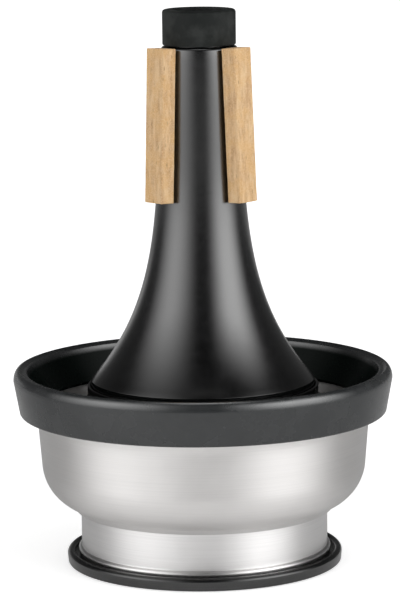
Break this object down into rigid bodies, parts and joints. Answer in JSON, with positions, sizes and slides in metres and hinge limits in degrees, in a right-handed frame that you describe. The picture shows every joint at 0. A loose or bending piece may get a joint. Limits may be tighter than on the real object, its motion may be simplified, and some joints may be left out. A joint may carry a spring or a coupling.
{
  "type": "trumpet cup mute",
  "caption": "Adjustable cup mute for a trumpet: a flared horn with cork strips on a spun tube with a rubber foot, and a rubber-rimmed bowl that slides and turns on the tube.",
  "frame": {"origin": "on the axis of the mute, in the plane that the rubber foot stands on", "axes": "+Z along the axis from the foot to the tip, -Y towards the viewer of the picture, +X to the viewer's right"},
  "size_m": [0.12, 0.12, 0.1753],
  "materials": {
    "horn_gloss": "gloss black moulded composite",
    "rubber_band": "smooth black band",
    "rubber_cap": "matte dark grey rubber",
    "rubber_rim": "satin dark grey moulded rubber",
    "rubber_foot": "satin black rubber",
    "rubber_sleeve": "matte black ribbed rubber",
    "cork": "raw natural cork",
    "bowl_aluminium": "satin spun aluminium",
    "tube_aluminium": "spun aluminium with fine turning lines"
  },
  "bodies": {
    "stem": {"horn_shell": "horn_gloss", "horn_foot_band": "rubber_band", "tip_cap": "rubber_cap", "cork_strip_left": "cork", "cork_strip_right": "cork", "cork_strip_rear": "cork", "slide_tube": "tube_aluminium", "end_plate": "tube_aluminium", "foot_ring": "rubber_foot"},
    "grip": {"grip_sleeve": "rubber_sleeve"},
    "cup": {"cup_bowl": "bowl_aluminium", "rim_trim": "rubber_rim", "neck_collar": "bowl_aluminium"}
  },
  "joints": [
    {"name": "cup_slide", "type": "slide", "parent": "stem", "child": "grip", "axis": [0, 0, 1], "range_m": [-0.0115, 0.018]},
    {"name": "cup_turn", "type": "hinge", "parent": "grip", "child": "cup", "pos_m": [0, 0, 0.03], "axis": [0, 0, 1], "continuous": true}
  ]
}
